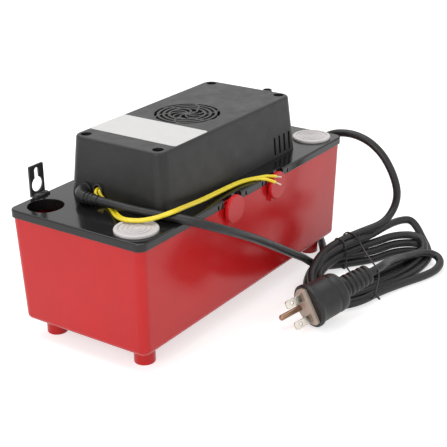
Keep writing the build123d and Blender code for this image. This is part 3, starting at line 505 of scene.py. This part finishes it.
# The plug: the middle of its front face, the way its cord leaves it, and its turn about itself
plug_face = Vector((-9.0, -121.5, 18.7))
yaw, rise, turn_about = radians(-21.0), radians(10.5), radians(-26.0)
# Distances from that face of the cord's last two points, behind the boot and inside it
BEHIND_BOOT = 76.0
INSIDE_BOOT = 62.0
plug_way = Vector((cos(rise) * cos(yaw), cos(rise) * sin(yaw), sin(rise)))
cord_end = [tuple(plug_face + plug_way * reach) for reach in (BEHIND_BOOT, INSIDE_BOOT)]

cord_points = list(cord_start)
for turn in turns:
    cord_points += turn_points(turn)
cord_points += cord_small + cord_rise + cord_loop + cord_bend + cord_tail + cord_end
cord_curve = spline_curve("power_cord", cord_points, CORD_RADIUS)
power_cord = dressed("power_cord", cord_curve, jacket)
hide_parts("power_cord_run", "power_cord_loop", "power_cord_tail", "power_cord_hank")


# ---------------------------------------------------------------- plug moulding
plug_place = (
    Matrix.Translation(plug_face)
    @ Matrix.Rotation(yaw, 4, "Z")
    @ Matrix.Rotation(pi / 2 - rise, 4, "Y")
    @ Matrix.Rotation(turn_about, 4, "Z")
)


def turned_mesh(name, profile, place, sides=72):
    """Mesh turned about its local Z from (radius, height) pairs that start and end on the axis."""
    verts = []
    faces = []
    for radius, height in profile[1:-1]:
        for step in range(sides):
            angle = 2 * pi * step / sides
            verts.append(place @ Vector((radius * cos(angle), radius * sin(angle), height)))
    for row in range(len(profile) - 3):
        for step in range(sides):
            a = row * sides + step
            b = row * sides + (step + 1) % sides
            faces.append((a, b, b + sides, a + sides))
    first = len(verts)
    verts.append(place @ Vector((0, 0, profile[0][1])))
    verts.append(place @ Vector((0, 0, profile[-1][1])))
    last_row = (len(profile) - 3) * sides
    for step in range(sides):
        following = (step + 1) % sides
        faces.append((first, following, step))
        faces.append((first + 1, last_row + step, last_row + following))
    return mesh_of(name, verts, faces)


# One ring of the boot: share of its pitch, and depth under its crest
BOOT_RING = (
    (0.0, 1.7), (0.20, 1.7), (0.27, 0.5), (0.40, 0.0), (0.60, -0.1), (0.80, 0.0), (0.93, 0.5),
)


def boot_rings(start, end, count, first_radius, last_radius):
    """Profile of the boot's rings, which get smaller towards the cord."""
    made = []
    pitch = (end - start) / count
    for ring in range(count):
        crest = first_radius + (last_radius - first_radius) * ring / (count - 1)
        low = start + pitch * ring
        made += [(crest - depth, low + share * pitch) for share, depth in BOOT_RING]
    return made


plug_profile = [
    (0.0, 1.6), (16.2, 1.6), (16.2, 0.5), (16.6, 0.05), (17.8, 0.05), (18.35, 0.6), (18.35, 3.0),
    (18.0, 3.7), (17.3, 4.2), (16.9, 5.4), (16.75, 9.0), (16.6, 14.0), (16.5, 19.0), (16.4, 21.6),
    (15.9, 22.1), (15.8, 23.0), (16.3, 23.6), (16.5, 24.4), (16.4, 27.0), (16.1, 29.2),
    (15.3, 31.0), (13.6, 32.3), (11.4, 33.1),
]
plug_profile += boot_rings(start=33.6, end=63.0, count=6, first_radius=9.5, last_radius=8.3)
plug_profile += [(6.0, 63.8), (4.4, 65.4), (3.9, 66.4), (0.0, 66.4)]
plug_mesh = turned_mesh("plug_moulding", plug_profile, plug_place)
plug_moulding = dressed("plug_moulding", plug_mesh, moulding)
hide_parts("plug_body")


# ---------------------------------------------------------------- twist ties
TIE_RADIUS = 0.7
TAIL_RADIUS = 0.55
TAIL_STRANDS = 2
TAIL_TURNS = 2.2
TAIL_POINTS = 14
# How far a strand lies from the tail's middle, in strand radii
TAIL_APART = 1.05


def tie(name, points):
    """A closed wire through control points in millimetres."""
    curve = round_curve(name, TIE_RADIUS, sides=3, resolution=8, caps=False)
    add_spline(curve, [Vector(point) * MM for point in points], closed=True)
    return dressed(name, curve, tie_black)


def twisted_tail(name, start, way, length):
    """Ends of a tie twisted round each other."""
    way = Vector(way).normalized()
    side = way.cross(Vector((0.3, 0.2, 1.0))).normalized()
    up = side.cross(way)
    curve = round_curve(name, TAIL_RADIUS, sides=3, resolution=5)
    for strand in range(TAIL_STRANDS):
        places = []
        for step in range(TAIL_POINTS):
            share = step / (TAIL_POINTS - 1)
            angle = 2 * pi * (TAIL_TURNS * share + strand / TAIL_STRANDS)
            out = (side * cos(angle) + up * sin(angle)) * TAIL_RADIUS * TAIL_APART
            places.append((Vector(start) + way * (length * share) + out) * MM)
        add_spline(curve, places)
    return dressed(name, curve, tie_black)


def round_bundle(middle, across, outline):
    """Points round a bundle, from (distance across it, height) pairs."""
    across = Vector(across).normalized()
    return [(middle[0] + across.x * w, middle[1] + across.y * w, z) for w, z in outline]


tie_round_far_side = round_bundle((104.0, -89.5), (0.45, 0.89), [
    (-4.5, 0.9), (-6.5, 4.0), (-6.9, 14.0), (-6.0, 22.0), (-3.0, 26.4), (3.0, 26.6), (8.5, 26.4),
    (12.0, 23.0), (10.5, 14.0), (8.0, 5.0), (4.0, 0.9),
])
tie_round_all = [
    (113, -98.5, 29.5), (109.5, -103.5, 27.5), (86, -121, 31.5), (60, -141.5, 36), (56, -149.5, 34),
    (55, -151, 27), (57, -147.5, 12), (58, -145, 3.5), (63, -137, 0.9), (82, -118, 0.9),
    (104, -96, 0.9), (111, -86, 4), (113, -84, 13), (116, -82.5, 24), (117, -86, 30),
    (115.5, -93, 30.5),
]
tie_first = tie("tie_round_far_side", tie_round_far_side)
tie_second = tie("tie_round_all", tie_round_all)
tie_tail_top = twisted_tail("tie_tail_top", (113.2, -99.5, 28.5), (0.1, -0.3, 1.0), 6.0)
tie_tail_low = twisted_tail("tie_tail_low", (57.5, -146.5, 9), (-0.2, -0.75, -0.35), 6.5)

# ---------------------------------------------------------------- alarm leads
LEAD_RADIUS = 1.25
lead_front = [
    (-93.0, 17.8, 118.5), (-99.1, 17.2, 118.2), (-99.7, 11.8, 112.2), (-101.1, 3.5, 110.3),
    (-106.1, -5.2, 110.2), (-112.6, -13.2, 110.2), (-119.2, -22.4, 111.6), (-122.8, -32.6, 113.2),
    (-118.2, -42.7, 113.2), (-111.5, -51.4, 114.8), (-105.3, -58.1, 117.4), (-96.6, -61.3, 118.2),
    (-86.8, -59.8, 116.8), (-75.9, -58.3, 115.0), (-60.0, -57.4, 113.2), (-42.0, -56.4, 112.0),
    (-22.0, -55.8, 111.0), (-6.2, -56.3, 110.4), (3.5, -59.2, 110.2), (10.2, -64.1, 110.2),
    (14.0, -70.0, 109.2), (16.3, -74.8, 107.0),
]
lead_back = [
    (-93.0, 15.2, 118.5), (-97.5, 14.4, 118.2), (-96.5, 9.6, 111.9), (-98.5, 2.5, 110.3),
    (-103.9, -6.8, 110.2), (-110.4, -14.8, 110.2), (-116.8, -23.6, 111.8), (-120.2, -32.4, 113.2),
    (-115.8, -41.3, 113.2), (-109.5, -49.6, 114.8), (-103.7, -55.9, 117.4), (-96.4, -58.7, 118.2),
    (-87.2, -57.2, 116.8), (-76.1, -55.7, 115.0), (-60.0, -54.8, 113.2), (-42.0, -53.8, 112.0),
    (-22.0, -53.2, 111.0), (-5.8, -53.7, 110.4), (4.5, -56.8, 110.2), (12.2, -61.6, 110.2),
    (19.0, -66.4, 110.4), (24.9, -70.1, 108.5),
]


TIP_RADIUS = 0.28
TIP_STRANDS = 4
TIP_TURNS = 1.6
TIP_POINTS = 12
TIP_LENGTH = 5.5
# How far the tip starts inside the insulation, and its strands' distance from its middle
TIP_INSIDE = 0.8
TIP_APART, TIP_FANS_OUT = 0.40, 0.15


def bare_tip(name, route):
    """Bare end of a lead: thin strands twisted round one another."""
    end = Vector(route[-1])
    way = (end - Vector(route[-2])).normalized()
    side = way.cross(Vector((0, 0, 1))).normalized()
    up = side.cross(way)
    curve = round_curve(name, TIP_RADIUS, sides=3, resolution=4)
    for strand in range(TIP_STRANDS):
        places = []
        for step in range(TIP_POINTS):
            share = step / (TIP_POINTS - 1)
            angle = 2 * pi * (TIP_TURNS * share + strand / TIP_STRANDS)
            out = TIP_APART + TIP_FANS_OUT * share
            along = end + way * (TIP_LENGTH * share - TIP_INSIDE)
            places.append((along + side * (out * cos(angle)) + up * (out * sin(angle))) * MM)
        add_spline(curve, places)
    return dressed(name, curve, tinned)


def alarm_lead(name, route):
    """One insulated lead."""
    return dressed(name, spline_curve(name, route, LEAD_RADIUS), yellow)


front_lead = alarm_lead("alarm_lead_near", lead_front)
back_lead = alarm_lead("alarm_lead_far", lead_back)
front_tip = bare_tip("alarm_tip_near", lead_front)
back_tip = bare_tip("alarm_tip_far", lead_back)
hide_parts("alarm_lead_front")
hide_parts("alarm_lead_back")
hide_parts("alarm_lead_tips")

# ---------------------------------------------------------------- bare label plate on the cover
label_low = (-72.0, -42.0)
label_high = (-29.0, 42.0)
label_level = 157.0
label_thickness = 0.15
label_corner = 2.5
CORNER_STEPS = 6
# Share of the plate's thickness that its chamfer starts at, and that it goes in
CHAMFER_SHARE = 0.6


def rounded_plate(name, low, high, level, thickness, corner):
    """A thin plate with rounded corners and a chamfered upper edge."""
    rings = []
    chamfer = thickness * CHAMFER_SHARE
    for inset, height in ((0.0, 0.0), (0.0, chamfer), (chamfer, thickness)):
        ring = []
        for quarter, (sx, sy) in enumerate(((1, 1), (-1, 1), (-1, -1), (1, -1))):
            cx = (high[0] if sx > 0 else low[0]) - sx * corner
            cy = (high[1] if sy > 0 else low[1]) - sy * corner
            for step in range(CORNER_STEPS + 1):
                angle = pi / 2 * (quarter + step / CORNER_STEPS)
                reach = corner - inset
                ring.append((cx + reach * cos(angle), cy + reach * sin(angle), level + height))
        rings.append(ring)
    verts = [v for ring in rings for v in ring]
    count = len(rings[0])
    faces = []
    for row in range(len(rings) - 1):
        for k in range(count):
            a = row * count + k
            b = row * count + (k + 1) % count
            faces.append((a, b, b + count, a + count))
    faces.append(tuple(range(count))[::-1])
    faces.append(tuple(range((len(rings) - 1) * count, len(rings) * count)))
    return mesh_of(name, verts, faces, smooth=False)


label_mesh = rounded_plate(
    "bare_label_plate", label_low, label_high, label_level, label_thickness, label_corner
)
dressed("bare_label_plate", label_mesh, paper)

# ---------------------------------------------------------------- floor, light and camera
FLOOR_HALF = 3000
# The floor lies this far under the feet, so that the two do not flicker
FLOOR_DROP = 0.0002
WHITE = (1.0, 1.0, 1.0, 1.0)
FLOOR_GREY = (0.70, 0.70, 0.70, 1.0)
# The camera and reflections see the floor this much lighter, and the world white, while the
# diffuse light on the object stays plain
FLOOR_LIFT = 0.60
WORLD_LIGHT, WORLD_SEEN = 0.55, 1.0


def emptied(owner):
    """The node tree of a material or world, with nothing in it."""
    owner.use_nodes = True
    owner.node_tree.nodes.clear()
    return owner.node_tree


def ray_is(tree, *kinds):
    """1 for a ray of any of these kinds, and 0 for others."""
    path = node(tree, "ShaderNodeLightPath")
    found = path.outputs[kinds[0]]
    for kind in kinds[1:]:
        either = node(tree, "ShaderNodeMath", operation="MAXIMUM")
        tree.links.new(found, either.inputs[0])
        tree.links.new(path.outputs[kind], either.inputs[1])
        found = either.outputs[0]
    return found


def chosen(tree, share, first, second):
    """The first shader, or the second where the share is 1."""
    choice = node(tree, "ShaderNodeMixShader")
    for socket, output in enumerate((share, first.outputs[0], second.outputs[0])):
        tree.links.new(output, choice.inputs[socket])
    return choice


corners = [(-1, -1), (1, -1), (1, 1), (-1, 1)]
floor_corners = [(x * FLOOR_HALF, y * FLOOR_HALF, 0) for x, y in corners]
floor = bpy.data.objects.new("floor", mesh_of("floor", floor_corners, [(0, 1, 2, 3)], smooth=False))
bpy.context.scene.collection.objects.link(floor)
floor.location.z = -FLOOR_DROP
floor_material = bpy.data.materials.new("floor_white")
tree = emptied(floor_material)
plain = node(tree, "ShaderNodeBsdfDiffuse")
set_inputs(plain, Color=FLOOR_GREY)
lift = node(tree, "ShaderNodeEmission")
set_inputs(lift, Color=WHITE, Strength=FLOOR_LIFT)
nothing = node(tree, "ShaderNodeEmission")
set_inputs(nothing, Color=(0.0, 0.0, 0.0, 1.0), Strength=0.0)
lifted = chosen(tree, ray_is(tree, "Is Camera Ray", "Is Glossy Ray"), nothing, lift)
both = node(tree, "ShaderNodeAddShader")
tree.links.new(plain.outputs[0], both.inputs[0])
tree.links.new(lifted.outputs[0], both.inputs[1])
out = node(tree, "ShaderNodeOutputMaterial")
tree.links.new(both.outputs[0], out.inputs["Surface"])
floor.data.materials.append(floor_material)

world = bpy.data.worlds.new("studio")
bpy.context.scene.world = world
tree = emptied(world)
soft = node(tree, "ShaderNodeBackground")
set_inputs(soft, Color=WHITE, Strength=WORLD_LIGHT)
white = node(tree, "ShaderNodeBackground")
set_inputs(white, Color=WHITE, Strength=WORLD_SEEN)
seen_kinds = ("Is Camera Ray", "Is Glossy Ray", "Is Transmission Ray")
sky = chosen(tree, ray_is(tree, *seen_kinds), soft, white)
out = node(tree, "ShaderNodeOutputWorld")
tree.links.new(sky.outputs[0], out.inputs["Surface"])


def softbox(name, place, target, size, power):
    """A square area lamp at a place, turned to its target; power in watts."""
    light = bpy.data.lights.new(name, "AREA")
    light.shape = "SQUARE"
    light.size = size
    light.energy = power
    lamp = bpy.data.objects.new(name, light)
    bpy.context.scene.collection.objects.link(lamp)
    lamp.location = place
    way = Vector(target) - Vector(place)
    lamp.rotation_euler = way.to_track_quat("-Z", "Y").to_euler()


softbox("top_box", (0.1, 0.35, 1.5), target=(0, 0, 0.08), size=1.3, power=13.0)
softbox("left_box", (-1.5, -0.2, 0.8), target=(0, 0, 0.06), size=1.1, power=9.0)
softbox("front_box", (-0.2, -1.7, 0.9), target=(0, 0, 0.06), size=1.2, power=4.5)

# Camera at the photograph's viewing angle, with a slight roll; aim and distance in metres
azimuth, elevation, roll = radians(-55.03), radians(22.83), radians(-0.93)
aim = Vector((0.0490, 0.0, 0.0426))
distance = 0.9908
toward = Vector((sin(azimuth) * cos(elevation), -cos(azimuth) * cos(elevation), sin(elevation)))
right = (-toward).cross(Vector((0, 0, 1))).normalized()
upward = right.cross(-toward)
right_rolled = right * cos(roll) + upward * sin(roll)
up_rolled = upward * cos(roll) - right * sin(roll)
lens = bpy.data.cameras.new("camera")
lens.lens = 90.2
lens.sensor_width = 36.0
lens.clip_end = 20.0
camera = bpy.data.objects.new("camera", lens)
bpy.context.scene.collection.objects.link(camera)
turned = Matrix((right_rolled, up_rolled, toward)).transposed().to_4x4()
camera.matrix_world = Matrix.Translation(aim + toward * distance) @ turned
bpy.context.scene.camera = camera
bpy.context.scene.view_settings.view_transform = "Standard"
